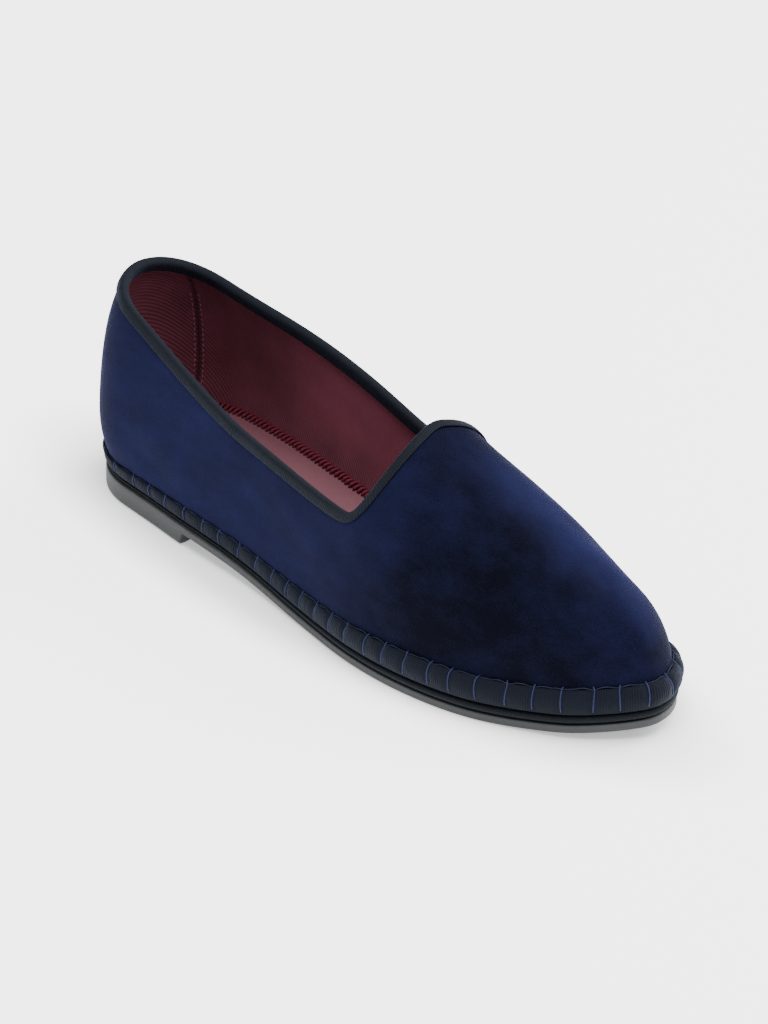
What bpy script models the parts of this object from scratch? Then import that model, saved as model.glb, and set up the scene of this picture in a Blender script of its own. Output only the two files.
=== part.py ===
"""Velvet slipper loafer for the right foot, modelled as the pieces that a maker puts together.

+X is the outer side of the foot, +Y runs from heel to toe, +Z is up, and the shoe stands on Z = 0.
Lengths are in metres.
"""

import math
from collections import namedtuple

import bmesh
import bpy
from mathutils import Vector

# The last, which is the form that the upper is pulled over
LAST_LENGTH = 0.2480
BALL_WIDTH = 0.0790
INSTEP_HEIGHT = 0.0490
HEEL_ROUND = 0.0270
TOE_ROUND = 0.0210
TOE_CAP_REACH = 0.0260
FEATHER_TUCK = 0.0034
TUCK_SHARE = 0.26

# The opening
BACK_HEIGHT = 0.0649
LOW_POINT = 0.1350
THROAT_POINT = 0.1485
THROAT_FOOT = 0.1565
THROAT_DIP = 0.0036
THROAT_SQUARENESS = 2.7
THROAT_FAN = 1.3

# The sole under it
HEEL_LIFT = 0.0042
HEEL_FRONT = 0.0580
BREAST_SLOPE = 0.0012
TREAD_BACK = 0.1300
TREAD_FRONT = 0.1980
TOE_SPRING = 0.0045
OUTSOLE_THICKNESS = 0.0034
OUTSOLE_PROUD = 0.0020
OUTSOLE_EDGE = 0.0007
MIDSOLE_HEEL = 0.0010
MIDSOLE_FORE = 0.0032
MIDSOLE_HEEL_PROUD = 0.0014
MIDSOLE_FORE_PROUD = 0.0028
INSOLE_THICKNESS = 0.0075
INSOLE_EDGE = 0.0006

# The fabric pieces
UPPER_WALL = 0.0015
BAND_HEEL_HEIGHT = 0.0054
BAND_TOE_HEIGHT = 0.0091
BAND_HEEL_PROUD = 0.0017
BAND_TOE_PROUD = 0.0036
BINDING_OUTER_LEG = 0.0025
BINDING_INNER_LEG = 0.0034
BINDING_TAPE = 0.0006

# Clearance between pieces that touch, and over the edge that the binding is folded on
GAP = 0.0003
CROWN_GAP = 0.0006

# Faces along one side of the shoe, from heel to toe, and up its wall
HEEL_STEPS = 8
QUARTER_STEPS = 11
THROAT_STEPS = 9
VAMP_STEPS = 10
TOE_STEPS = 7
WALL_ROWS = 12

HEEL_RUN = HEEL_ROUND * math.pi / 2
TOE_START = HEEL_RUN + LAST_LENGTH - HEEL_ROUND - TOE_ROUND
TOE_RUN = TOE_START + TOE_ROUND * math.pi / 2

# Sections of the last: along is a share of LAST_LENGTH; outer and inner are the half widths and ridge the
# sideways place of the crest, as shares of BALL_WIDTH; crest is a share of INSTEP_HEIGHT; the tucks are
# shares of FEATHER_TUCK; the fulls are the exponents of the section's curve on each side, 2 for an ellipse
# and more for a squarer one.
Section = namedtuple("Section", "along outer inner ridge crest outer_tuck inner_tuck outer_full inner_full")
SECTIONS = (
    Section(0.00, 0.330, 0.315, 0.000, 1.47, 1.20, 1.00, 3.4, 3.3),
    Section(0.12, 0.343, 0.368, 0.000, 1.47, 1.25, 1.15, 2.2, 2.4),
    Section(0.24, 0.364, 0.358, 0.000, 1.57, 0.62, 1.25, 1.8, 2.6),
    Section(0.36, 0.385, 0.334, -0.005, 1.69, 0.50, 1.58, 1.8, 3.4),
    Section(0.48, 0.439, 0.337, -0.008, 1.54, 0.37, 1.35, 1.9, 2.7),
    Section(0.60, 0.507, 0.400, -0.010, 1.275, 0.45, 0.45, 2.1, 2.2),
    Section(0.70, 0.511, 0.420, -0.025, 1.09, 0.40, 0.40, 2.1, 2.1),
    Section(0.80, 0.455, 0.375, -0.035, 0.93, 0.35, 0.35, 2.1, 2.1),
    Section(0.90, 0.320, 0.298, -0.025, 0.715, 0.35, 0.35, 2.1, 2.1),
    Section(0.95, 0.235, 0.265, -0.010, 0.63, 0.35, 0.35, 2.0, 2.0),
    Section(1.00, 0.150, 0.220, 0.000, 0.52, 0.35, 0.35, 2.0, 2.0),
)

# The collar's edge over the feather edge, as shares of BACK_HEIGHT
Collar = namedtuple("Collar", "along outer inner")
COLLAR = (
    Collar(0.00, 0.99, 0.99),
    Collar(0.10, 0.89, 0.875),
    Collar(0.20, 0.755, 0.82),
    Collar(0.30, 0.655, 0.755),
    Collar(0.40, 0.63, 0.695),
    Collar(0.52, 0.61, 0.60),
    Collar(0.64, 0.605, 0.61),
)


def smooth(rows, column, along):
    """Value of a table's column at a share of the length, on one smooth curve through its rows."""
    last = len(rows) - 1
    along = min(max(along, rows[0].along), rows[last].along)
    k = max(i for i in range(last) if rows[i].along <= along)
    place = [row.along for row in rows]
    value = [getattr(row, column) for row in rows]

    def slope(i):
        a, b = max(i - 1, 0), min(i + 1, last)
        return (value[b] - value[a]) / (place[b] - place[a])

    span = place[k + 1] - place[k]
    t = (along - place[k]) / span
    rise = value[k + 1] - value[k]
    start, end = slope(k) * span, slope(k + 1) * span
    return value[k] + t * (start + t * (3 * rise - 2 * start - end + t * (start + end - 2 * rise)))


def ease(value, low, high):
    """0 below low, 1 above high, and a smooth step between."""
    t = min(max((value - low) / (high - low), 0), 1)
    return t * t * (3 - 2 * t)


def section(y):
    """The last's section at a distance from its heel."""
    return Section(*(smooth(SECTIONS, column, y / LAST_LENGTH) for column in Section._fields))


def of_side(y, side, column):
    """A size of the last's section on one side: 1 is the outer side and -1 the inner."""
    return getattr(section(y), ("outer" if side > 0 else "inner") + column)


def along_at(run):
    """Distance from the heel, and share of the half width, where the outline has run this far."""
    if run < HEEL_RUN:
        turn = run / HEEL_ROUND
        return HEEL_ROUND * (1 - math.cos(turn)), math.sin(turn)
    if run > TOE_START:
        turn = (run - TOE_START) / TOE_ROUND
        return LAST_LENGTH - TOE_ROUND * (1 - math.sin(turn)), max(math.cos(turn), 0)
    return HEEL_ROUND + run - HEEL_RUN, 1


def run_at(y):
    """How far the outline has run at a distance from the heel that is between its two round ends."""
    return HEEL_RUN + y - HEEL_ROUND


def widest(side, run):
    """Plan point of the last's widest outline."""
    y, share = along_at(run)
    return Vector((side * of_side(y, side, "") * BALL_WIDTH * share, y, 0))


def plan_normal(side, run):
    """The outward direction of the outline, seen from above."""
    step = 0.0002
    if run <= 0:
        return Vector((0, -1, 0))
    if run >= TOE_RUN:
        return Vector((0, 1, 0))
    way = widest(side, min(run + step, TOE_RUN)) - widest(side, max(run - step, 0))
    return Vector((side * way.y, -side * way.x, 0)).normalized()


def feather(side, run, proud=0):
    """Plan point of the feather edge, where the upper meets the sole, moved outwards by proud."""
    y, _ = along_at(run)
    return widest(side, run) + plan_normal(side, run) * (proud - of_side(y, side, "_tuck") * FEATHER_TUCK)


def underside(y):
    """Height of the outsole's lower face, without the heel."""
    shank = HEEL_LIFT * (1 - ease(y, HEEL_FRONT - BREAST_SLOPE, TREAD_BACK))
    toe = max(0, (y - TREAD_FRONT) / (LAST_LENGTH - TREAD_FRONT))
    return shank + TOE_SPRING * toe**2


def outsole_top(y):
    return underside(y) + OUTSOLE_THICKNESS


def heel_to_fore(heel, fore, y):
    """A size that changes from the heel's value to the forefoot's along the waist."""
    return heel + (fore - heel) * ease(y, HEEL_FRONT, TREAD_FRONT)


def midsole_top(y):
    return outsole_top(y) + GAP + heel_to_fore(MIDSOLE_HEEL, MIDSOLE_FORE, y)


def bed(y):
    """Height at which the upper, the band and the insole stand on the midsole."""
    return midsole_top(y) + GAP


def spine(y):
    """The crest's place that the wall at y leans towards: it stops short of the heel and the toe."""
    if y < 2 * HEEL_ROUND:
        return HEEL_ROUND + y * y / (4 * HEEL_ROUND)
    left = LAST_LENGTH - y
    if left < 2 * TOE_CAP_REACH:
        return LAST_LENGTH - TOE_CAP_REACH - left * left / (4 * TOE_CAP_REACH)
    return y


def wall_point(side, run, lift):
    """Point of the upper's outer face. Lift goes from 0 at the feather edge to 1 on the crest."""
    y, _ = along_at(run)
    top = section(spine(y))
    full = of_side(y, side, "_full")
    crest = top.crest * INSTEP_HEIGHT
    angle = lift * math.pi / 2
    height = crest * math.sin(angle) ** (2 / full)
    out = max(math.cos(angle), 0) ** (2 / full)
    tuck = of_side(y, side, "_tuck") * FEATHER_TUCK * max(0, 1 - height / (TUCK_SHARE * crest)) ** 2
    centre = Vector((top.ridge * BALL_WIDTH, spine(y), 0))
    point = centre + (widest(side, run) - centre) * out - plan_normal(side, run) * tuck
    point.z = bed(point.y) + height
    return point


def lift_at(side, run, height):
    """The lift at which the wall is this high over the feather edge."""
    y, _ = along_at(run)
    crest = section(spine(y)).crest * INSTEP_HEIGHT
    share = min(max(height / crest, 0), 1)
    return math.asin(share ** (of_side(y, side, "_full") / 2)) * 2 / math.pi


def top_end(side, run):
    """Where a station that stands at this run ends on top, on the collar's edge or the crest: run and lift.

    The throat's stations lean back over its corner, its middle dips towards the heel, and the vamp's stations
    that follow lean back less and less.
    """
    low, throat, foot = run_at(LOW_POINT), run_at(THROAT_POINT), run_at(THROAT_FOOT)
    if run > foot:
        back = THROAT_FOOT - THROAT_POINT + THROAT_DIP
        return run - back * math.exp((foot - run) / back), 1
    at = min(run, low)
    y, _ = along_at(at)
    height = smooth(COLLAR, "outer" if side > 0 else "inner", y / LAST_LENGTH) * BACK_HEIGHT
    lift = lift_at(side, at, height)
    if run <= low:
        return run, lift
    full = of_side(y, side, "_full")
    left = max(foot - run, 0) / (foot - low)
    turn = (1 - left**THROAT_FAN) * math.pi / 2
    across = max(math.cos(turn), 0) ** (2 / THROAT_SQUARENESS)
    forward = math.sin(turn) ** (2 / THROAT_SQUARENESS)
    out = math.cos(lift * math.pi / 2) ** (2 / full) * across
    end = low + (throat - low) * forward - THROAT_DIP * (1 - across) ** 2
    return end, math.acos(out ** (full / 2)) * 2 / math.pi


def graded(share):
    """Steps along a stretch that get shorter towards its end."""
    return share * (1.25 - 0.25 * share * share)


def side_runs():
    """Where the stations of one side stand on the feather edge, from the heel's middle to the toe's tip."""
    low, foot = run_at(LOW_POINT), run_at(THROAT_FOOT)
    runs = [HEEL_RUN * k / HEEL_STEPS for k in range(HEEL_STEPS)]
    runs += [HEEL_RUN + (low - HEEL_RUN) * graded(k / QUARTER_STEPS) for k in range(QUARTER_STEPS)]
    runs += [low + (foot - low) * k / THROAT_STEPS for k in range(THROAT_STEPS)] + [foot]
    runs += [TOE_START + (foot - TOE_START) * graded(1 - k / VAMP_STEPS) for k in range(1, VAMP_STEPS)]
    return runs + [TOE_START + (TOE_RUN - TOE_START) * k / TOE_STEPS for k in range(TOE_STEPS + 1)]


def around(runs):
    """The closed round of stations: the heel, the outer side, the toe, and the inner side back."""
    return [(1, run) for run in runs] + [(-1, run) for run in reversed(runs[1:-1])]


def finish_mesh(name, mesh_data, colour, roughness):
    """Makes the object of a piece from its mesh, with the piece's own material."""
    bmesh.ops.remove_doubles(mesh_data, verts=mesh_data.verts, dist=1e-6)
    bmesh.ops.recalc_face_normals(mesh_data, faces=mesh_data.faces)
    mesh = bpy.data.meshes.new(name)
    mesh_data.to_mesh(mesh)
    mesh_data.free()
    mesh.shade_smooth()
    mesh.set_sharp_from_angle(angle=math.radians(45))
    material = bpy.data.materials.new(name)
    material.use_nodes = True
    shader = material.node_tree.nodes["Principled BSDF"]
    shader.inputs["Base Color"].default_value = (*colour, 1)
    shader.inputs["Roughness"].default_value = roughness
    mesh.materials.append(material)
    piece = bpy.data.objects.new(name, mesh)
    bpy.context.scene.collection.objects.link(piece)
    return piece


def slab(name, loops, colour, roughness):
    """A solid between closed loops of stations, from its lower rim to its upper rim, closed by flat rungs."""
    data = bmesh.new()
    rims = [[data.verts.new(point) for point in loop] for loop in loops]
    count = len(rims[0])
    for lower, upper in zip(rims, rims[1:]):
        for k in range(count):
            n = (k + 1) % count
            data.faces.new((lower[k], lower[n], upper[n], upper[k]))
    for rim in (rims[0], rims[-1]):
        for k in range(count // 2):
            corners = (rim[k], rim[k + 1], rim[(count - k - 1) % count], rim[(count - k) % count])
            data.faces.new(tuple(dict.fromkeys(corners)))
    return finish_mesh(name, data, colour, roughness)


def ring(name, outlines, colour, roughness):
    """A closed ring swept through the outline that it has at each station."""
    data = bmesh.new()
    rows = [[data.verts.new(point) for point in outline] for outline in outlines]
    for k, row in enumerate(rows):
        following = rows[(k + 1) % len(rows)]
        for j in range(len(row)):
            n = (j + 1) % len(row)
            data.faces.new((row[j], following[j], following[n], row[n]))
    return finish_mesh(name, data, colour, roughness)


def raised(plan, height):
    return Vector((plan.x, plan.y, height))


def outsole():
    """One rubber moulding: a thin sole with a low heel, and a rounded edge all round."""
    breast = run_at(HEEL_FRONT)
    runs = sorted(side_runs() + [breast, breast - BREAST_SLOPE])
    loops = [[], [], [], []]
    for side, run in around(runs):
        y, _ = along_at(run)
        floor = 0 if run < breast else underside(y)
        top = outsole_top(y)
        rim = feather(side, run, OUTSOLE_PROUD)
        inner = feather(side, run, OUTSOLE_PROUD - OUTSOLE_EDGE)
        loops[0].append(raised(inner, floor))
        loops[1].append(raised(rim, floor + OUTSOLE_EDGE))
        loops[2].append(raised(rim, top - OUTSOLE_EDGE / 2))
        loops[3].append(raised(inner, top))
    return slab("outsole", loops, (0.045, 0.046, 0.048), 0.55)


def midsole():
    """The fabric-covered layer on the outsole, whose round edge shows as a thin roll under the band."""
    loops = [[], [], [], [], []]
    for side, run in around(side_runs()):
        y, _ = along_at(run)
        low, high = outsole_top(y) + GAP, midsole_top(y)
        middle, half = (low + high) / 2, (high - low) / 2
        for k, loop in enumerate(loops):
            turn = math.pi * k / (len(loops) - 1)
            proud = heel_to_fore(MIDSOLE_HEEL_PROUD, MIDSOLE_FORE_PROUD, y) - half * (1 - math.sin(turn))
            loop.append(raised(feather(side, run, proud), middle - half * math.cos(turn)))
    return slab("midsole", loops, (0.010, 0.011, 0.016), 0.85)


def foxing_band():
    """The ribbon roll that is stitched round the foot of the upper, higher at the toe than at the heel."""
    outlines = []
    for side, run in around(side_runs()):
        y, _ = along_at(run)
        height = heel_to_fore(BAND_HEEL_HEIGHT, BAND_TOE_HEIGHT, y)
        bulge = heel_to_fore(BAND_HEEL_PROUD, BAND_TOE_PROUD, y) - GAP
        out = plan_normal(side, run)
        outline = []
        for share in (0, 0.35, 0.7, 1):
            outline.append(wall_point(side, run, lift_at(side, run, height * share)) + out * GAP)
        base = outline[0]
        for turn, proud in ((0.92, 0.55), (0.62, 0.95), (0.32, 1.0), (0.08, 0.82)):
            wall = wall_point(side, run, lift_at(side, run, height * turn)) + out * GAP
            outline.append(wall + out * (bulge * proud))
        outline.append(raised(base + out * (bulge * 0.6), base.z))
        outlines.append(outline)
    return ring("foxing_band", outlines, (0.012, 0.016, 0.030), 0.80)


def upper():
    """The velvet upper: one wall pulled over the last, open at the collar and underneath."""
    data = bmesh.new()
    rows = []
    for side, run in around(side_runs()):
        end, top = top_end(side, run)
        y, _ = along_at(run)
        even = of_side(y, side, "_full") / 2
        shares = [(j / WALL_ROWS) ** even for j in range(WALL_ROWS + 1)]
        points = [wall_point(side, run + (end - run) * share**3, top * share) for share in shares]
        rows.append([data.verts.new(point) for point in points])
    for k, row in enumerate(rows):
        following = rows[(k + 1) % len(rows)]
        for j in range(WALL_ROWS):
            data.faces.new((row[j], following[j], following[j + 1], row[j + 1]))
    piece = finish_mesh("upper", data, (0.018, 0.026, 0.115), 0.90)
    wall = piece.modifiers.new("wall", "SOLIDIFY")
    wall.thickness = UPPER_WALL
    wall.offset = -1
    wall.use_even_offset = True
    return piece


def wall_frame(side, run, lift):
    """Point of the outer face, its two rates of change and its outward normal."""
    step, tilt = 0.0004, 0.004
    lift = min(max(lift, tilt), 1 - tilt)
    run_way = (wall_point(side, run + step, lift) - wall_point(side, max(run - step, 0), lift)) / (
        step + min(step, run)
    )
    lift_way = (wall_point(side, run, lift + tilt) - wall_point(side, run, lift - tilt)) / (2 * tilt)
    return run_way, lift_way, run_way.cross(lift_way).normalized() * side


def down_the_wall(side, run, lift, down, distance, steps=4):
    """Point and normal of the outer face at a distance from an edge point, in the direction down."""
    for _ in range(steps):
        run_way, lift_way, normal = wall_frame(side, run, lift)
        way = (down - normal * down.dot(normal)).normalized() * (distance / steps)
        a, b, c = run_way.dot(run_way), run_way.dot(lift_way), lift_way.dot(lift_way)
        p, q = way.dot(run_way), way.dot(lift_way)
        run += (p * c - q * b) / (a * c - b * b)
        lift = min(lift + (q * a - p * b) / (a * c - b * b), 1)
    return wall_point(side, run, lift), wall_frame(side, run, lift)[2]


def collar_round():
    """The stations of the collar's edge, once round the opening: side, run and lift."""
    runs = [run for run in side_runs() if run <= run_at(THROAT_FOOT)]
    outer = [(1, *top_end(1, run)) for run in runs]
    return outer + [(-1, *top_end(-1, run)) for run in reversed(runs[1:-1])]


def collar_binding():
    """The tape folded over the collar's edge, sewn through the wall from both faces."""
    stations = collar_round()
    edge = [wall_point(*station) for station in stations]
    inside = UPPER_WALL + 2 * GAP
    outlines = []
    for k, (side, run, lift) in enumerate(stations):
        following = (k + 1) % len(edge)
        tangent = (edge[following] - edge[k - 1]).normalized()
        normal = wall_frame(side, run, lift)[2]
        if lift > 0.999:
            normal = Vector((0, normal.y, normal.z)).normalized()
        down = tangent.cross(normal).normalized()
        if down.z > 0 and lift < 0.9:
            down = -down
        outer, inner = [], []
        for share in (1, 0.5):
            point, face = down_the_wall(side, run, lift, down, BINDING_OUTER_LEG * share)
            outer.append((point + face * (GAP + BINDING_TAPE), point + face * GAP))
            point, face = down_the_wall(side, run, lift, down, BINDING_INNER_LEG * share)
            inner.append((point - face * (inside + BINDING_TAPE), point - face * inside))
        outer.append((edge[k] + normal * (GAP + BINDING_TAPE), edge[k] + normal * GAP))
        inner.append((edge[k] - normal * (inside + BINDING_TAPE), edge[k] - normal * inside))
        rise = -down * CROWN_GAP
        crown = -down * (CROWN_GAP + BINDING_TAPE)
        outline = [pair[0] for pair in outer]
        outline += [edge[k] + normal * GAP + crown, edge[k] - normal * inside + crown]
        outline += [pair[0] for pair in reversed(inner)]
        outline += [inner[0][1], inner[1][1], inner[2][1] + rise]
        outline += [outer[2][1] + rise, outer[1][1], outer[0][1]]
        outlines.append(outline)
    return ring("collar_binding", outlines, (0.010, 0.012, 0.018), 0.80)


def insole():
    """The padded footbed in its smooth cloth, which fills the foot of the upper from wall to wall."""
    loops = [[], [], []]
    inside = UPPER_WALL + 2 * GAP
    for side, run in around(side_runs()):
        foot = wall_point(side, run, 0) - plan_normal(side, run) * inside
        rim = wall_point(side, run, lift_at(side, run, INSOLE_THICKNESS)) - plan_normal(side, run) * inside
        inner = rim - plan_normal(side, run) * INSOLE_EDGE
        top = bed(rim.y) + INSOLE_THICKNESS
        loops[0].append(foot)
        loops[1].append(raised(rim, top - INSOLE_EDGE))
        loops[2].append(raised(inner, top))
    return slab("insole", loops, (0.23, 0.055, 0.075), 0.60)


def stand_in_place(pieces):
    """Holds the pieces on one empty, and puts the middle of the shoe's plan at the origin."""
    holder = bpy.data.objects.new("shoe", None)
    bpy.context.scene.collection.objects.link(holder)
    corners = [vertex.co for piece in pieces for vertex in piece.data.vertices]
    middle_x = (min(c.x for c in corners) + max(c.x for c in corners)) / 2
    middle_y = (min(c.y for c in corners) + max(c.y for c in corners)) / 2
    holder.location = (-middle_x, -middle_y, 0)
    for piece in pieces:
        piece.parent = holder


for leftover in list(bpy.data.objects):
    bpy.data.objects.remove(leftover)
stand_in_place([outsole(), midsole(), foxing_band(), upper(), collar_binding(), insole()])
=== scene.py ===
import math
import random

import bmesh
import bpy
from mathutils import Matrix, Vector
from mathutils.bvhtree import BVHTree
from mathutils.kdtree import KDTree


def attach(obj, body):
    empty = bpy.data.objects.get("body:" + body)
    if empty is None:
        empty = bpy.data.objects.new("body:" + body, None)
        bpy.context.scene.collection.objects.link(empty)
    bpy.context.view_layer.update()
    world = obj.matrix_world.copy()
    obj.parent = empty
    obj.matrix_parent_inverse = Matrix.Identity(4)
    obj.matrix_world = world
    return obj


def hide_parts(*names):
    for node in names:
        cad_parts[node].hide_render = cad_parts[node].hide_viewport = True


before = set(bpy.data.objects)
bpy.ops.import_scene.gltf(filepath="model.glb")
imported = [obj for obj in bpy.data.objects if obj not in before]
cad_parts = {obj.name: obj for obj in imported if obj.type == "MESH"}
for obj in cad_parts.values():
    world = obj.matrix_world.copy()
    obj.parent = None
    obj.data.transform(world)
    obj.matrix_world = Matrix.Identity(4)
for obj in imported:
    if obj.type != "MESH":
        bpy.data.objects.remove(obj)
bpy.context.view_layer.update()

# The upper is navy velvet on a burgundy twill lining, pulled over the last and closed down the back of the
# heel. It is one wall, so one mesh carries both cloths. The nap lies forward on the quarter and the other way
# on the vamp, and the velvet's colour carries painted light on the quarter and painted shade on the vamp.
FOOT_X = -0.0035
FOOT_BACK = -0.098
FOOT_FRONT = 0.088
FOOT_HEIGHT = 0.026


class Value:
    """A number on a shader wire. Python's operators on it add the Math nodes."""

    def __init__(self, tree, socket):
        self.tree, self.socket = tree, socket

    def math(self, operation, *others):
        node = self.tree.nodes.new("ShaderNodeMath")
        node.operation = operation
        for place, item in zip(node.inputs, (self, *others)):
            if isinstance(item, Value):
                self.tree.links.new(item.socket, place)
            else:
                place.default_value = item
        return Value(self.tree, node.outputs[0])

    def __add__(self, other):
        return self.math("ADD", other)

    def __mul__(self, other):
        return self.math("MULTIPLY", other)

    def __sub__(self, other):
        return self.math("SUBTRACT", other)

    def __truediv__(self, other):
        return self.math("DIVIDE", other)

    def __pow__(self, other):
        return self.math("POWER", other)

    def __rsub__(self, other):
        return self.math("MULTIPLY", -1.0).math("ADD", other)

    __radd__ = __add__
    __rmul__ = __mul__

    def clamp(self):
        node = self.tree.nodes.new("ShaderNodeClamp")
        self.tree.links.new(self.socket, node.inputs[0])
        return Value(self.tree, node.outputs[0])

    def bell(self, width):
        """1 where the value is 0, and a smooth fall to nothing at about twice the width."""
        share = self / width
        return (share * share * -1.0).math("EXPONENT")

    def wave(self, length):
        """A cosine of the value with this wave length, from 0 to 1."""
        return (self * (math.tau / length)).math("COSINE") * 0.5 + 0.5


class Finish:
    """One material, with a Principled shader and the nodes that feed it."""

    def __init__(
        self, name, colour, roughness, sheen=0.0, sheen_colour=(1, 1, 1), sheen_roughness=0.3, specular=0.5
    ):
        self.material = bpy.data.materials.new(name)
        self.material.use_nodes = True
        self.tree = self.material.node_tree
        self.shader = self.tree.nodes["Principled BSDF"]
        self.set(self.shader, "Base Color", (*colour, 1))
        self.set(self.shader, "Roughness", roughness)
        self.set(self.shader, "Specular IOR Level", specular)
        self.set(self.shader, "Sheen Weight", sheen)
        self.set(self.shader, "Sheen Tint", (*sheen_colour, 1))
        self.set(self.shader, "Sheen Roughness", sheen_roughness)

    def set(self, node, place, item):
        socket = node.inputs[place]
        if isinstance(item, Value):
            self.tree.links.new(item.socket, socket)
        elif isinstance(item, bpy.types.NodeSocket):
            self.tree.links.new(item, socket)
        else:
            socket.default_value = item

    def node(self, kind, settings=None, **places):
        """A node of a type, with its settings set first, then its sockets."""
        node = self.tree.nodes.new(kind)
        for key, item in (settings or {}).items():
            setattr(node, key, item)
        for place, item in places.items():
            self.set(node, place.replace("_", " "), item)
        return node

    def value(self, socket):
        return Value(self.tree, socket)

    def place(self):
        """The place on the object, in metres."""
        return self.node("ShaderNodeTexCoord").outputs["Object"]

    def along(self):
        """The piece's own map: metres along it, and across it."""
        return self.node("ShaderNodeUVMap", {"uv_map": "along"}).outputs["UV"]

    def apart(self, vector):
        split = self.node("ShaderNodeSeparateXYZ", Vector=vector)
        return [self.value(socket) for socket in split.outputs]

    def noise(self, scale, detail, rough, stretch=None):
        vector = self.place()
        if stretch:
            vector = self.node("ShaderNodeMapping", Vector=vector, Scale=stretch).outputs[0]
        made = self.node("ShaderNodeTexNoise", Vector=vector, Scale=scale, Detail=detail, Roughness=rough)
        return self.value(made.outputs[0])

    def ease(self, value, low, high):
        """0 where value is under low, 1 over high, and a smooth step between."""
        smooth = {"interpolation_type": "SMOOTHSTEP"}
        made = self.node("ShaderNodeMapRange", smooth, Value=value, From_Min=low, From_Max=high)
        return self.value(made.outputs[0])

    def mix(self, share, first, second):
        """The first colour where the share is 0 and the second where it is 1."""
        made = self.node("ShaderNodeMix", {"data_type": "RGBA"})
        self.set(made, 0, share)
        # A Mix node has several sockets of one name, and its colours stand at 6, 7 and, on the way out, 2
        self.set(made, 6, (*first, 1))
        self.set(made, 7, (*second, 1))
        return made.outputs[2]

    def bump(self, height, distance, strength):
        made = self.node("ShaderNodeBump", Height=height, Distance=distance, Strength=strength)
        self.set(self.shader, "Normal", made.outputs[0])


MERGE_WITHIN, CREASE = 1e-6, 0.9


def copy_of(node, name, levels, crease_over=None):
    """A finer piece in the shape of a CAD node: its triangles joined to quads and subdivided."""
    bpy.ops.object.select_all(action="DESELECT")
    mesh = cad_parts[node].data.copy()
    mesh.name = name
    mesh.materials.clear()
    piece = bpy.data.objects.new(name, mesh)
    bpy.context.scene.collection.objects.link(piece)
    bpy.context.view_layer.objects.active = piece
    piece.select_set(True)
    bpy.ops.object.mode_set(mode="EDIT")
    bpy.ops.mesh.select_all(action="SELECT")
    bpy.ops.mesh.remove_doubles(threshold=MERGE_WITHIN)
    bpy.ops.mesh.normals_make_consistent(inside=False)
    bpy.ops.mesh.tris_convert_to_quads(face_threshold=math.radians(60), shape_threshold=math.radians(80))
    bpy.ops.object.mode_set(mode="OBJECT")
    if crease_over:
        crease = mesh.attributes.new("crease_edge", "FLOAT", "EDGE")
        data = bmesh.new()
        data.from_mesh(mesh)
        data.edges.ensure_lookup_table()
        sharp = [edge.calc_face_angle(0) > math.radians(crease_over) for edge in data.edges]
        data.free()
        for k, is_sharp in enumerate(sharp):
            crease.data[k].value = CREASE if is_sharp else 0
    finer = piece.modifiers.new("finer", "SUBSURF")
    finer.levels = finer.render_levels = levels
    bpy.ops.object.modifier_apply(modifier="finer")
    mesh.shade_smooth()
    return piece


def dress(piece, node, slot, *finishes):
    """Gives a piece its finishes and its place on the body, and hides the CAD node that it stands for."""
    for finish in finishes:
        piece.data.materials.append(finish.material)
    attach(piece, "root")
    if node:
        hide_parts(node)


def foot_middle(point):
    """The middle of the foot's space, level with a point of the wall."""
    return Vector((FOOT_X, min(max(point.y, FOOT_BACK), FOOT_FRONT), FOOT_HEIGHT))


def bell(distance, width):
    return math.exp(-((distance / width) ** 2))


def ease(value, low, high):
    share = min(max((value - low) / (high - low), 0), 1)
    return share * share * (3 - 2 * share)


# Where the cloth has a soft fold: the start and end of its line, its half width and its depth, all in
# millimetres. A swelling has a depth below 0.
FOLDS = (
    ((22.5, -96.0, 27.0), (23.5, -78.0, 20.5), 3.5, 0.55),
    ((22.0, -88.0, 36.0), (23.6, -70.0, 27.0), 5.0, -0.35),
    ((25.0, -40.0, 33.0), (27.5, -18.0, 24.0), 5.0, 0.40),
    ((25.8, -24.0, 41.0), (30.0, 2.0, 30.0), 4.5, -0.40),
    ((30.0, 12.0, 36.0), (34.0, 34.0, 22.0), 5.0, 0.45),
    ((8.0, 46.0, 58.5), (17.0, 66.0, 47.0), 5.0, 0.60),
    ((-2.0, 50.0, 60.0), (4.0, 74.0, 52.0), 5.5, -0.45),
    ((-12.0, 58.0, 56.0), (-17.0, 78.0, 46.0), 5.0, 0.50),
    ((20.0, 76.0, 36.0), (10.0, 92.0, 40.0), 4.0, 0.40),
    ((-26.0, -60.0, 34.0), (-24.5, -36.0, 26.0), 5.0, 0.45),
    ((-24.0, -20.0, 40.0), (-28.0, 6.0, 30.0), 5.0, -0.40),
    ((-29.0, 22.0, 34.0), (-33.0, 44.0, 22.0), 5.0, 0.45),
    ((-8.0, -122.0, 46.0), (6.0, -122.0, 42.0), 4.0, 0.35),
)


def fold_depth(point):
    """How far the folds press the wall in at a point, in metres."""
    depth = 0
    for start, end, width, most in FOLDS:
        start, end = Vector(start) / 1000, Vector(end) / 1000
        way = end - start
        share = min(max((point - start).dot(way) / way.length_squared, 0), 1)
        depth += most / 1000 * bell((point - start - way * share).length, width / 1000)
    return depth


upper = copy_of("upper", "velvet_upper", 2, 50)
for face in upper.data.polygons:
    faces_out = face.normal.dot(face.center - foot_middle(face.center)) > 0
    face.material_index = 0 if faces_out else 1
for vertex in upper.data.vertices:
    outwards = (vertex.co - foot_middle(vertex.co)).normalized()
    vertex.co -= outwards * fold_depth(vertex.co)
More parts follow.
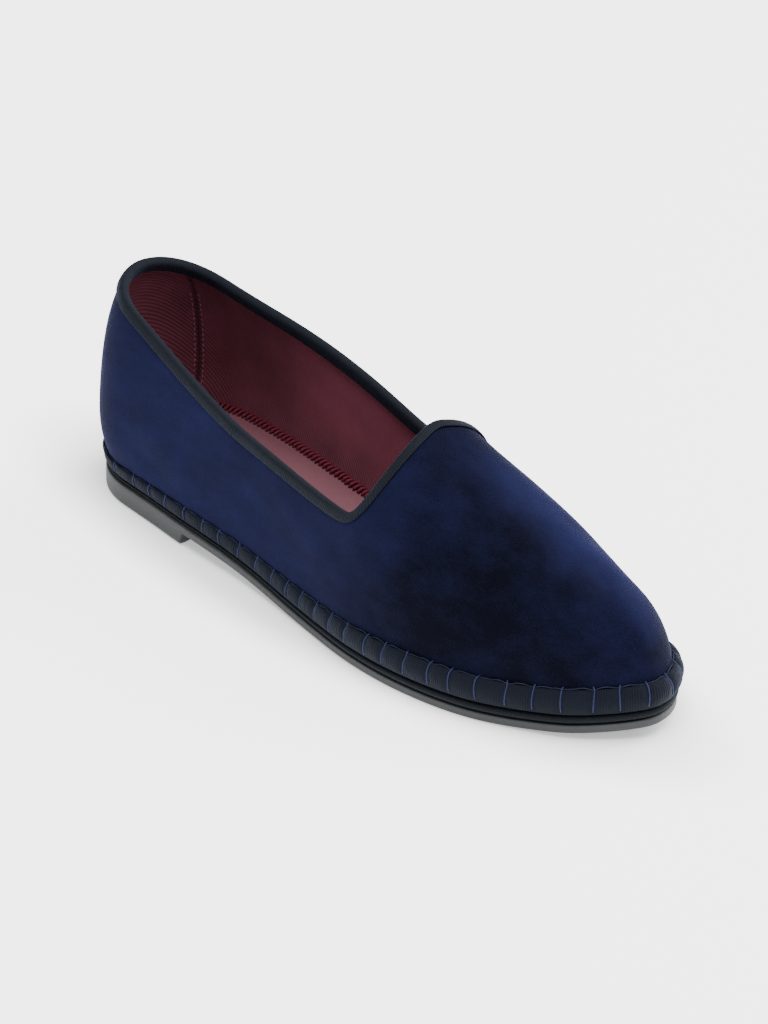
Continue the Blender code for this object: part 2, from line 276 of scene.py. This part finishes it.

# Painted light brightens the outer quarter and the far side of the vamp; painted shade darkens the outer
# vamp.
# The places are in metres, from the middle of the shoe.
QUARTER_FRONT, QUARTER_FULL = 0.055, 0.0
VAMP_START, TOE_START = 0.035, 0.07
BACK_SEAM = 0.0005
velvet = Finish("navy_velvet", (0.012, 0.018, 0.075), 0.95, 0.17, (0.29, 0.32, 0.80), 0.18, 0.06)
x, y, z = velvet.apart(velvet.place())
cloud = velvet.noise(40, 4, 0.6)
brushed = velvet.noise(170, 3, 0.6, stretch=(1.0, 0.4, 1.0))
fleck = velvet.noise(1900, 2, 0.6)
# The quarter's and the far side's masks paint light into the colour, and the outer vamp's mask paints shade.
quarter_painted_light = velvet.ease(y * -1.0, -QUARTER_FRONT, -QUARTER_FULL) * velvet.ease(x, -0.005, 0.016)
far_side_painted_highlight = velvet.ease(x * -1.0, -0.006, 0.014) * velvet.ease(y, 0.02, 0.06) * velvet.ease(z, 0.026, 0.042)
outer_vamp_painted_shade = velvet.ease(x, 0.004, 0.022) * velvet.ease(y, VAMP_START, TOE_START)
mottle = (cloud - 0.5) * 0.7 + (brushed - 0.5) * 0.4 + (fleck - 0.5) * 0.45
nap_and_painted_light = (quarter_painted_light * 0.40 + far_side_painted_highlight * 0.62 + mottle + 0.17 - outer_vamp_painted_shade * 0.10).clamp()
seam = (x - FOOT_X).bell(BACK_SEAM) * velvet.ease(y * -1.0, 0.10, 0.11)
velvet.set(velvet.shader, "Base Color", velvet.mix(nap_and_painted_light, (0.0008, 0.0010, 0.0044), (0.0096, 0.0112, 0.0480)))
velvet.set(velvet.shader, "Roughness", 0.86 + 0.1 * cloud)
velvet.bump(fleck * 0.5 + cloud * 1.6 + brushed * 0.5 - seam * 2.0, 0.0004, 0.6)

# The twill's ribs run slanting up the wall, and the lining's seam leans back as it rises.
SEAM_PLACE, SEAM_LEAN, SEAM_WIDTH = -0.1138, 0.052, 0.0006
TWILL_STEP, TWILL_WANDER = 0.00105, 0.0003
lining = Finish("burgundy_twill", (0.09, 0.016, 0.028), 0.85, 0.25, (0.8, 0.35, 0.4), 0.5, 0.2)
_, y, z = lining.apart(lining.place())
rib = (y * 0.8 + z * 0.6 + lining.noise(300, 2, 0.5) * TWILL_WANDER).wave(TWILL_STEP)
shade = lining.noise(70, 3, 0.5)
# A painted pool of light lightens the lining forward of the heel and high on the wall, mixed with the twill's
# own tone.
painted_light_patch = lining.ease(y, -0.088, -0.055) * lining.ease(z, 0.018, 0.032)
seam = (y - SEAM_PLACE - z * SEAM_LEAN).bell(SEAM_WIDTH)
twill_tone_and_painted_light = (rib * 0.35 + shade * 0.45 + painted_light_patch * 0.42 - 0.06 - seam * 0.5).clamp()
lining.set(lining.shader, "Base Color", lining.mix(twill_tone_and_painted_light, (0.026, 0.0040, 0.0080), (0.22, 0.050, 0.084)))
lining.bump(rib - seam * 2.5, 0.00014, 0.6)
dress(upper, "upper", "velvet", velvet, lining)


def tree_of(mesh):
    """The faces of a mesh, ready to be met by rays."""
    corners = [vertex.co for vertex in mesh.vertices]
    return BVHTree.FromPolygons(corners, [face.vertices for face in mesh.polygons])


def threads(name, lines, radius, finish, slot, sides=6):
    """Threads as one mesh. A line is a list of points, each with the way that stands off the cloth."""
    points, faces = [], []
    for line in lines:
        first = len(points)
        for k, (point, off) in enumerate(line):
            way = (line[min(k + 1, len(line) - 1)][0] - line[max(k - 1, 0)][0]).normalized()
            across = way.cross(off).normalized()
            rise = across.cross(way)
            for turn in range(sides):
                angle = math.tau * turn / sides
                points.append(point + (across * math.cos(angle) + rise * math.sin(angle)) * radius)
        for k in range(len(line) - 1):
            for turn in range(sides):
                a, b = first + k * sides + turn, first + k * sides + (turn + 1) % sides
                faces.append((a, b, b + sides, a + sides))
        faces.append(tuple(reversed(range(first, first + sides))))
        faces.append(tuple(range(len(points) - sides, len(points))))
    mesh = bpy.data.meshes.new(name)
    mesh.from_pydata(points, [], faces)
    mesh.shade_smooth()
    piece = bpy.data.objects.new(name, mesh)
    bpy.context.scene.collection.objects.link(piece)
    dress(piece, None, slot, finish)


# Two rows of stitches in rose thread hold the lining's seam, on each side of the heel. They start over the
# footbed and end under the collar.
LINING_STITCH, LINING_STEP, LINING_ROWS = 0.0012, 0.0020, (-0.0011, 0.0011)
LINING_START, LINING_STITCHES, LINING_THREAD, LINING_SUNK = 0.0205, 19, 0.00019, 0.0001
upper_tree = tree_of(upper.data)
rose_thread = Finish("rose_thread", (0.19, 0.055, 0.080), 0.7)
seam_lines = []
for side in (-1, 1):
    for row in LINING_ROWS:
        for k in range(LINING_STITCHES):
            line = []
            for share in (0, 0.3, 0.7, 1):
                height = LINING_START + k * LINING_STEP + share * LINING_STITCH
                start = Vector((FOOT_X, SEAM_PLACE + height * SEAM_LEAN + row, height))
                point, normal, _, _ = upper_tree.ray_cast(start, Vector((side, 0, 0)), 0.05)
                if point:
                    inwards = -normal if normal.x * side > 0 else normal
                    sunk = LINING_SUNK if share in (0, 1) else -LINING_SUNK
                    line.append((point - inwards * sunk, inwards))
            if len(line) == 4:
                seam_lines.append(line)
threads("lining_stitches", seam_lines, LINING_THREAD, rose_thread, "velvet")

# The collar and the throat are bound with one length of black ribbed ribbon. It is folded over the edge of
# the velvet and the lining and sewn through, so that it shows on both sides.
BINDING_MIDDLE, BINDING_RIBS, BINDING_RELIEF = -0.045, 0.00078, 0.00012
binding = copy_of("collar_binding", "ribbon_binding", 2)


class Round:
    """The closed line of a piece that runs round the shoe, seen from above, with a place on it for any point.

    A ring is followed along its middle. A slab is followed along its rim, and its flat faces are passed over.
    """

    STEP = 0.0005
    TURNS = 360
    FLAT = 0.8
    WINDOW = 6
    NEIGHBOUR = 4
    FAR_OFF = 9.0

    def __init__(self, mesh, middle, slab=False):
        middle = Vector(middle)
        near, far = [self.FAR_OFF] * self.TURNS, [0.0] * self.TURNS
        for vertex in mesh.vertices:
            if slab and abs(vertex.normal.z) > self.FLAT:
                continue
            way = vertex.co.xy - middle
            k = int(math.atan2(way.y, way.x) / math.tau % 1 * self.TURNS) % self.TURNS
            near[k], far[k] = min(near[k], way.length), max(far[k], way.length)
        reach = [f if slab else (n + f) / 2 for n, f in zip(near, far)]
        met = [k for k in range(self.TURNS) if far[k]]
        for a, b in zip(met, met[1:] + [met[0] + self.TURNS]):
            for k in range(a + 1, b):
                share = (k - a) / (b - a)
                reach[k % self.TURNS] = reach[a] * (1 - share) + reach[b % self.TURNS] * share
        reach = [sum(reach[(k + j) % self.TURNS] for j in (-1, 0, 1)) / 3 for k in range(self.TURNS)]
        corners = []
        for k, far_out in enumerate(reach):
            angle = math.tau * (k + 0.5) / self.TURNS
            corners.append(middle + Vector((math.cos(angle), math.sin(angle))) * far_out)
        run = [0.0]
        for k in range(self.TURNS):
            run.append(run[-1] + (corners[(k + 1) % self.TURNS] - corners[k]).length)
        self.length = run[-1]
        self.count = round(self.length / self.STEP)
        self.points = []
        k = 0
        for j in range(self.count):
            here = self.length * j / self.count
            while run[k + 1] < here:
                k += 1
            share = (here - run[k]) / (run[k + 1] - run[k])
            self.points.append(corners[k].lerp(corners[(k + 1) % self.TURNS], share))
        self.tree = KDTree(self.count)
        for j, point in enumerate(self.points):
            self.tree.insert((point.x, point.y, 0), j)
        self.tree.balance()
        self.low, self.high = [self.FAR_OFF] * self.count, [-self.FAR_OFF] * self.count
        for vertex in mesh.vertices:
            here = int(self.run_of(vertex.co) / self.length * self.count) % self.count
            for j in range(here - self.WINDOW, here + self.WINDOW + 1):
                self.low[j % self.count] = min(self.low[j % self.count], vertex.co.z)
                self.high[j % self.count] = max(self.high[j % self.count], vertex.co.z)
        for j in range(2 * self.count):
            if self.low[j % self.count] > self.high[j % self.count]:
                self.low[j % self.count] = self.low[(j - 1) % self.count]
                self.high[j % self.count] = self.high[(j - 1) % self.count]

    def at(self, run):
        """The point there, the ways along and out of the foot, and the piece's low and high place."""
        j = round(run / self.length * self.count) % self.count
        before, after = self.points[j - self.NEIGHBOUR], self.points[(j + self.NEIGHBOUR) % self.count]
        way = (after - before).normalized()
        share = run / self.length * self.count - round(run / self.length * self.count)
        point = self.points[j] + way * share * self.length / self.count
        return point, way, Vector((way.y, -way.x)), self.low[j], self.high[j]

    def run_of(self, point):
        """How far along the line a point stands."""
        _, j, _ = self.tree.find((point.x, point.y, 0))
        before, after = self.points[j - 1], self.points[(j + 1) % self.count]
        way = (after - before).normalized()
        return (j * self.length / self.count + (point.xy - self.points[j]).dot(way)) % self.length

    def share_of(self, run, height):
        """How high a height is in the piece there: 0 at its lowest place and 1 at its highest."""
        _, _, _, low, high = self.at(run)
        return (height - low) / max(high - low, 1e-6)

    def map_onto(self, mesh):
        """Gives the mesh its own map: metres along the line, and the share of its height."""
        runs = [self.run_of(vertex.co) for vertex in mesh.vertices]
        layer = mesh.uv_layers.new(name="along")
        for face in mesh.polygons:
            spots = [runs[v] for v in face.vertices]
            if max(spots) - min(spots) > self.length / 2:
                spots = [spot + self.length if spot < self.length / 2 else spot for spot in spots]
            for corner, v, spot in zip(face.loop_indices, face.vertices, spots):
                layer.data[corner].uv = (spot, self.share_of(runs[v], mesh.vertices[v].co.z))


def ribbon_finish(name, dark, light, ribs, depth, under=0.0):
    """A ribbed ribbon: fine ribs across its length, a little rubbed where they stand out, with painted shade
    underneath.
    """
    made = Finish(name, light, 0.8, 0.06, (0.45, 0.6, 1.0), 0.4, 0.12)
    along, up, _ = made.apart(made.along())
    wear = made.noise(160, 3, 0.6)
    pucker = made.noise(260, 1, 0.4)
    cord = (along + wear * 0.0003).wave(ribs)
    # The lower part of the ribbon is darkened by painted shade, as much as asked.
    shown = cord * 0.5 + wear * 0.8 - 0.15 - (1.0 - made.ease(up, 0.0, 0.5)) * under
    made.set(made.shader, "Base Color", made.mix(shown.clamp(), dark, light))
    made.set(made.shader, "Roughness", 0.72 + 0.2 * wear)
    made.bump(cord + wear * 0.8 + pucker * 2.5, depth, 0.7)
    return made


Round(binding.data, (FOOT_X, BINDING_MIDDLE)).map_onto(binding.data)
black_ribbon = ribbon_finish(
    "black_ribbon", (0.0016, 0.0021, 0.0036), (0.0064, 0.0085, 0.0142), BINDING_RIBS, BINDING_RELIEF
)
dress(binding, "collar_binding", "ribbon_binding", black_ribbon)

# The foxing band is a navy ribbed ribbon round the foot of the upper, held by a blue blanket stitch that
# pulls it in at each bar, so that it puffs between the stitches.
STITCH_STEP, STITCH_STRAY, STITCH_TILT = 0.0092, 0.10, 0.0004
LEAST_PULL, MOST_PULL = 0.7, 1.25
PULL, PUFF, DIP = 0.00055, 0.00012, 0.00045
PULL_WIDTH, PUFF_WIDTH, DIP_WIDTH = 0.0011, 0.0028, 0.0013
BAND_RIBS, BAND_RELIEF, BAND_PAINTED_SHADE = 0.0008, 0.00014, 0.35
draw = random.Random(11)
band = copy_of("foxing_band", "ribbon_band", 3)
band_line = Round(band.data, (0.0, 0.0))
band_line.map_onto(band.data)
stitches = round(band_line.length / STITCH_STEP)
places, pulls, tilts = [], [], []
for k in range(stitches):
    places.append((k + 0.5 + draw.uniform(-STITCH_STRAY, STITCH_STRAY)) * band_line.length / stitches)
    pulls.append(draw.uniform(LEAST_PULL, MOST_PULL))
    tilts.append(draw.uniform(-STITCH_TILT, STITCH_TILT))


def nearest_stitch(run):
    """The stitch that is nearest to a place along the band, and how far away it is."""
    first = int(run / band_line.length * stitches)
    gaps = []
    for k in (first - 1, first, first + 1):
        apart = abs(run - places[k % stitches])
        gaps.append((min(apart, band_line.length - apart), k % stitches))
    apart, k = min(gaps)
    return k, apart


facings = [vertex.normal.copy() for vertex in band.data.vertices]
for vertex, normal in zip(band.data.vertices, facings):
    run = band_line.run_of(vertex.co)
    share = band_line.share_of(run, vertex.co.z)
    _, _, out, _, _ = band_line.at(run)
    out = out.to_3d()
    k, apart = nearest_stitch(run)
    facing = min(max(normal.dot(out), 0) + max(normal.z, 0) * 0.5, 1) * ease(share, 0.1, 0.45)
    pull = PULL * pulls[k] * bell(apart, PULL_WIDTH) - PUFF * (1 - bell(apart, PUFF_WIDTH))
    vertex.co -= out * pull * facing
    vertex.co.z -= DIP * pulls[k] * bell(apart, DIP_WIDTH) * ease(share, 0.65, 0.95)
navy_ribbon = ribbon_finish(
    "navy_ribbon", (0.0008, 0.0013, 0.0036), (0.0039, 0.0058, 0.0128), BAND_RIBS, BAND_RELIEF, BAND_PAINTED_SHADE
)
dress(band, "foxing_band", "ribbon_band", navy_ribbon)
band_tree = tree_of(band.data)
RAY_START, RAY_LENGTH = 0.02, 0.04


def outside_hit(tree, run, height):
    """Where a level ray from outside meets a piece at a place along the band, and the way out there."""
    point, _, out, _, _ = band_line.at(run)
    start = (point + out * RAY_START).to_3d() + Vector((0, 0, height))
    return tree.ray_cast(start, -out.to_3d(), RAY_LENGTH)[0], out.to_3d()


# Each bar of the blanket stitch goes in low on the band, lies over it and ends in the velvet above.
BLUE_THREAD, BAR_START, BAR_SUNK = 0.00023, 0.20, 0.00015
BAR_RISE, BAR_END_HEIGHT, BAR_END_OUT = 0.0003, 0.0002, 0.0001
blue = Finish("blue_thread", (0.0140, 0.0180, 0.064), 0.7, 0.08, (0.5, 0.55, 1.0), 0.4, 0.2)
bars = []
for k, run in enumerate(places):
    _, _, _, low, high = band_line.at(run)
    line = []
    for share in (BAR_START, 0.34, 0.5, 0.66, 0.8, 0.9):
        hit, out = outside_hit(band_tree, run + tilts[k] * share * 2, low + (high - low) * share)
        if hit:
            proud = -BAR_SUNK if share == BAR_START else BLUE_THREAD * 0.6
            line.append((hit + out * proud, out))
    wall, out = outside_hit(upper_tree, run, high + BAR_END_HEIGHT)
    if wall and len(line) > 2:
        turn_over = (line[-1][0] + wall) / 2 + Vector((0, 0, BAR_RISE))
        line.append((turn_over, (out + Vector((0, 0, 1))).normalized()))
        line.append((wall + out * BAR_END_OUT, Vector((0, 0, 1))))
        bars.append(line)
threads("stitch_bars", bars, BLUE_THREAD, blue, "ribbon_band")

# A blue thread runs along the band's upper edge too, and dips a little at each bar.
EDGE_THREAD, EDGE_STEP, EDGE_OUT, EDGE_DROP = 0.00020, 0.0008, 0.0004, 0.0001
EDGE_DIP_WIDTH, EDGE_SWAY, EDGE_SWAYS = 0.0018, 0.00015, 900
edge_blue = Finish("edge_thread", (0.0135, 0.0165, 0.032), 0.8, specular=0.2)
edge_line = []
for j in range(round(band_line.length / EDGE_STEP)):
    run = j * EDGE_STEP
    _, _, _, _, high = band_line.at(run)
    _, apart = nearest_stitch(run)
    height = high - EDGE_DROP - DIP * bell(apart, EDGE_DIP_WIDTH) + EDGE_SWAY * math.sin(run * EDGE_SWAYS)
    wall, out = outside_hit(upper_tree, run, height)
    if wall:
        edge_line.append((wall + out * EDGE_OUT, out))
threads("edge_thread", [edge_line + edge_line[:1]], EDGE_THREAD, edge_blue, "ribbon_band", 5)

# The midsole is a thin layer wrapped in black ribbon and glued between the band and the rubber. Only its
# edge shows, as a dark roll all round.
TIER_RIBS, TIER_RELIEF = 0.0007, 0.00010
tier = copy_of("midsole", "wrapped_tier", 2)
Round(tier.data, (0.0, 0.0), slab=True).map_onto(tier.data)
tier_ribbon = ribbon_finish(
    "tier_ribbon", (0.0020, 0.0027, 0.0037), (0.0085, 0.0108, 0.0142), TIER_RIBS, TIER_RELIEF
)
dress(tier, "midsole", "wrapped_midsole", tier_ribbon)

# The outsole is one moulding of dark grey rubber with a low heel. Its top rim carries a painted highlight,
# and small notches of the tread, with painted shade in them, run out through the lower edge of the forefoot.
TREAD_STEP = 0.0026
sole = copy_of("outsole", "rubber_sole", 2, 35)
Round(sole.data, (0.0, 0.0), slab=True).map_onto(sole.data)
rubber = Finish("grey_rubber", (0.06, 0.062, 0.066), 0.5, specular=0.3)
_, y, _ = rubber.apart(rubber.place())
along, up, _ = rubber.apart(rubber.along())
grain = rubber.noise(700, 3, 0.6)
dust = rubber.noise(60, 4, 0.6)
# The top rim is lightened as a painted highlight, and the notches are darkened as painted shade.
rim = rubber.ease(up, 0.80, 0.95)
lower_edge = 1.0 - rubber.ease(up, 0.12, 0.30)
notch = rubber.ease(along.wave(TREAD_STEP), 0.72, 0.9) * lower_edge * rubber.ease(y, 0.02, 0.05)
shown = rubber.mix((dust + rim * 0.6 - notch).clamp(), (0.019, 0.0215, 0.0235), (0.042, 0.0435, 0.0455))
rubber.set(rubber.shader, "Base Color", shown)
rubber.set(rubber.shader, "Roughness", 0.45 + 0.2 * dust)
rubber.bump(grain - notch * 8.0, 0.00006, 0.6)
dress(sole, "outsole", "rubber_sole", rubber)

# The insole is a padded footbed in smooth burgundy cloth, overlocked round its edge in thick red thread.
# It is laid in from above and rests on the midsole, from wall to wall.
insole = copy_of("insole", "footbed", 2, 50)
cloth = Finish("insole_cloth", (0.2, 0.07, 0.09), 0.6)
weave = cloth.noise(1200, 2, 0.5)
soft = cloth.noise(50, 3, 0.5)
shown = cloth.mix(weave * 0.5 + soft * 0.5, (0.095, 0.030, 0.042), (0.145, 0.053, 0.066))
cloth.set(cloth.shader, "Base Color", shown)
cloth.bump(weave + soft * 3.0, 0.00009, 0.4)
dress(insole, "insole", "insole_cloth", cloth)

# The overlock's thread winds round the rim in close turns, wider across the edge than it is high.
ROPE_PITCH, ROPE_REACH, ROPE_RISE, ROPE_THREAD = 0.0020, 0.0015, 0.0009, 0.00055
ROPE_POINTS, ROPE_LIFT = 12, 0.0002
rim_line = Round(insole.data, (0.0, 0.0), slab=True)
red = Finish("overlock_thread", (0.095, 0.0085, 0.020), 0.7, 0.05, (1.0, 0.5, 0.5), 0.4, 0.2)
rope = []
for j in range(round(rim_line.length / ROPE_PITCH) * ROPE_POINTS):
    angle = math.tau * j / ROPE_POINTS
    point, _, out, _, high = rim_line.at(j * ROPE_PITCH / ROPE_POINTS)
    heart = (point - out * ROPE_REACH).to_3d() + Vector((0, 0, high + ROPE_LIFT))
    off = out.to_3d() * math.cos(angle) * ROPE_REACH + Vector((0, 0, math.sin(angle) * ROPE_RISE))
    rope.append((heart + off, off.normalized()))
threads("overlock", [rope], ROPE_THREAD, red, "insole_cloth", 5)

# The floor is plain pale paper, lit by a soft box above, another behind and a pale room. It glows a little,
# as painted light, so that it stays near white, and less so under and close round the shoe, as a painted
# shadow.
FLOOR_SIZE, FLOOR_GLOW = 12, 2.25
SHADOW_ACROSS, SHADOW_ALONG = 0.040, 0.130
bpy.ops.object.select_all(action="DESELECT")
bpy.ops.mesh.primitive_plane_add(size=FLOOR_SIZE, location=(0, 0, 0))
floor = bpy.context.object
floor.name = "studio_floor"
paper = Finish("studio_paper", (0.84, 0.845, 0.83), 1.0, specular=0.0)
x, y, _ = paper.apart(paper.place())
across, along = x / SHADOW_ACROSS, y / SHADOW_ALONG
# Painted shadow: the floor's glow dims under and close round the shoe.
clear = paper.ease((across * across + along * along) ** 0.5, 0.85, 1.35)
paper.set(paper.shader, "Emission Color", paper.mix(clear, (0.22, 0.22, 0.225), (1.0, 1.0, 0.985)))
paper.set(paper.shader, "Emission Strength", FLOOR_GLOW)
floor.data.materials.append(paper.material)

world = bpy.data.worlds.new("studio")
world.use_nodes = True
world.node_tree.nodes["Background"].inputs["Color"].default_value = (0.95, 0.97, 1.0, 1)
world.node_tree.nodes["Background"].inputs["Strength"].default_value = 0.62
bpy.context.scene.world = world


def soft_box(name, place, size, watts):
    """A square light at a place, turned to the shoe."""
    light = bpy.data.lights.new(name, "AREA")
    light.shape = "SQUARE"
    light.size = size
    light.energy = watts
    lamp = bpy.data.objects.new(name, light)
    bpy.context.scene.collection.objects.link(lamp)
    lamp.location = place
    lamp.rotation_euler = (Vector((0, 0, 0.03)) - Vector(place)).to_track_quat("-Z", "Y").to_euler()


soft_box("top_box", (0.1, 0.35, 1.6), 1.3, 50)
soft_box("back_box", (-1.4, 0.35, 0.9), 1.0, 34)

# The camera looks along the photo's line, from far away as with a long lens. The frame's width is measured
# at the shoe, and the picture is higher than it is wide, so its height takes the whole film.
AZIMUTH, ELEVATION, DISTANCE = math.radians(136.6), math.radians(30.1), 5.0
FRAME_WIDTH, PHOTO_WIDTH, PHOTO_HEIGHT, FILM = 0.245, 768, 1024, 36
aim = Vector((-0.001, 0.0, 0.031))
back = Vector(
    (
        math.sin(AZIMUTH) * math.cos(ELEVATION),
        -math.cos(AZIMUTH) * math.cos(ELEVATION),
        math.sin(ELEVATION),
    )
)
camera_data = bpy.data.cameras.new("camera")
camera_data.lens = FILM * DISTANCE / (FRAME_WIDTH * PHOTO_HEIGHT / PHOTO_WIDTH)
camera_data.clip_end = 50
camera = bpy.data.objects.new("camera", camera_data)
bpy.context.scene.collection.objects.link(camera)
camera.location = aim + back * DISTANCE
camera.rotation_euler = (-back).to_track_quat("-Z", "Y").to_euler()
bpy.context.scene.camera = camera
